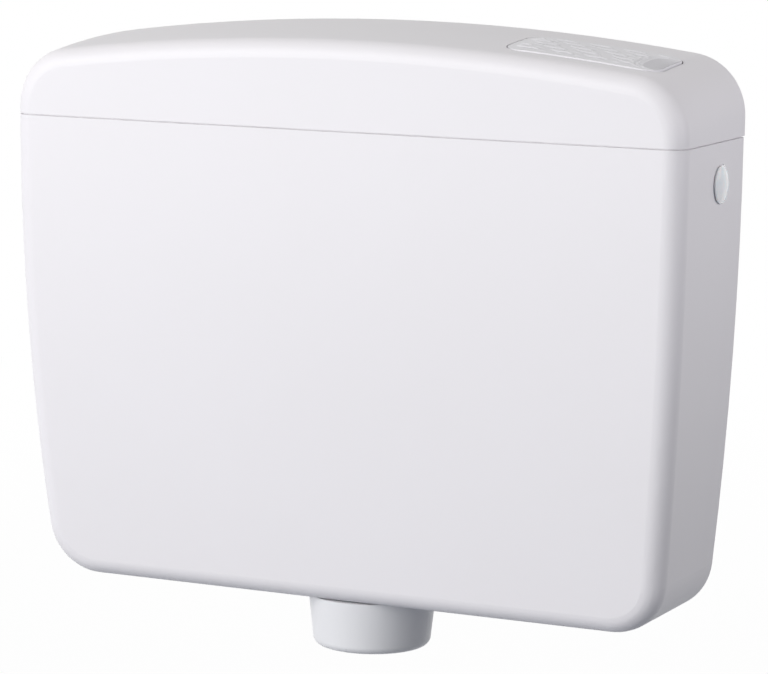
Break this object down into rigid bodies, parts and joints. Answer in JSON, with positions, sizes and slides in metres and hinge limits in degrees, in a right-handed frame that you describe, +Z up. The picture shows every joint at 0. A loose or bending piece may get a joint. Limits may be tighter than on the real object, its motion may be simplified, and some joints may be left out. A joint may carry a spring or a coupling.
{
  "type": "wall-hung toilet cistern",
  "caption": "Slim wall-hung toilet cistern with a domed lift-off lid, a push plate set flush in its right half, a flush valve and fill valve inside, and a flush pipe nut below.",
  "frame": {"origin": "in the wall plane, midway between the two wall fixing holes", "axes": "+X to the right seen from the front, +Y into the wall, +Z up"},
  "size_m": [0.481, 0.105, 0.3907],
  "materials": {
    "shell_white": "gloss white moulding",
    "lid_white": "gloss white moulding",
    "plate_white": "satin white with raised ripples",
    "plug_white": "bluish white, slightly translucent",
    "nut_white": "satin white moulding",
    "valve_white": "satin natural acetal",
    "valve_grey": "satin light grey",
    "float_grey": "satin pale grey",
    "seal_rubber": "black moulded rubber",
    "pin_steel": "bright stainless",
    "spring_steel": "stainless spring wire"
  },
  "bodies": {
    "tank": {"tank_body": "shell_white", "outlet_gasket": "seal_rubber", "flush_valve_seat": "valve_white", "flush_valve_cage": "valve_white", "outlet_lock_nut": "valve_grey", "flush_pipe_seal": "seal_rubber", "flush_pipe_nut": "nut_white", "blanking_plug": "plug_white", "blanking_plug_washer": "seal_rubber", "blanking_plug_nut": "valve_white", "inlet_washer": "seal_rubber", "inlet_lock_nut": "valve_grey", "fill_valve_body": "valve_white", "fill_valve_cap": "valve_grey", "silencer_tube": "valve_white", "lever_bridge": "valve_white", "bridge_screws": "pin_steel", "rocker_pivot_pin": "pin_steel", "float_lever_pin": "pin_steel"},
    "lid": {"lid": "lid_white", "plate_hinge_pin": "pin_steel", "plate_spring": "spring_steel"},
    "plate": {"push_plate": "plate_white"},
    "rod": {"push_rod": "valve_white", "push_rod_foot": "valve_grey", "push_rod_lock_nut": "valve_grey"},
    "rocker": {"rocker_lever": "valve_grey"},
    "flush_valve": {"overflow_tube": "valve_white", "valve_disc": "valve_white", "valve_washer": "seal_rubber", "valve_float": "float_grey", "lift_spider": "valve_white", "lift_rod": "valve_white", "lift_rod_nuts": "valve_grey"},
    "float_arm": {"float_lever": "valve_white", "float_rod": "valve_white", "float_rod_nuts": "valve_grey", "float_cup": "float_grey"},
    "plunger": {"valve_plunger": "valve_white", "plunger_washer": "seal_rubber"}
  },
  "joints": [
    {"name": "lid_lift", "type": "slide", "parent": "tank", "child": "lid", "axis": [0, 0, 1], "range_m": [0, 0.08]},
    {"name": "plate_press", "type": "hinge", "parent": "lid", "child": "plate", "pos_m": [0.106, -0.0595, 0.07704], "axis": [0, 1, 0], "range_deg": [0, 5.9], "stiffness_Nm_per_rad": 2, "springref_deg": -5.73},
    {"name": "rod_slide", "type": "slide", "parent": "lid", "child": "rod", "axis": [0, 0, -1], "range_m": [0, 0.0078], "deforming": ["plate_spring"]},
    {"name": "rocker_tilt", "type": "hinge", "parent": "tank", "child": "rocker", "pos_m": [0.12, -0.0595, 0.002], "axis": [0, 1, 0], "range_deg": [0, 7.5]},
    {"name": "valve_lift", "type": "slide", "parent": "tank", "child": "flush_valve", "axis": [0, 0, 1], "range_m": [0, 0.0156]},
    {"name": "float_swing", "type": "hinge", "parent": "tank", "child": "float_arm", "pos_m": [-0.134, -0.04, -0.006], "axis": [0, -1, 0], "range_deg": [0, 12]},
    {"name": "plunger_slide", "type": "slide", "parent": "tank", "child": "plunger", "axis": [-1, 0, 0], "range_m": [0, 0.0027]}
  ],
  "couplings": [
    {"joint": "rod_slide", "follows": "plate_press", "m_per_rad": 0.07497},
    {"joint": "rocker_tilt", "follows": "plate_press", "ratio": 1.2522},
    {"joint": "valve_lift", "follows": "plate_press", "m_per_rad": 0.1498},
    {"joint": "plunger_slide", "follows": "float_swing", "m_per_rad": 0.012717}
  ]
}
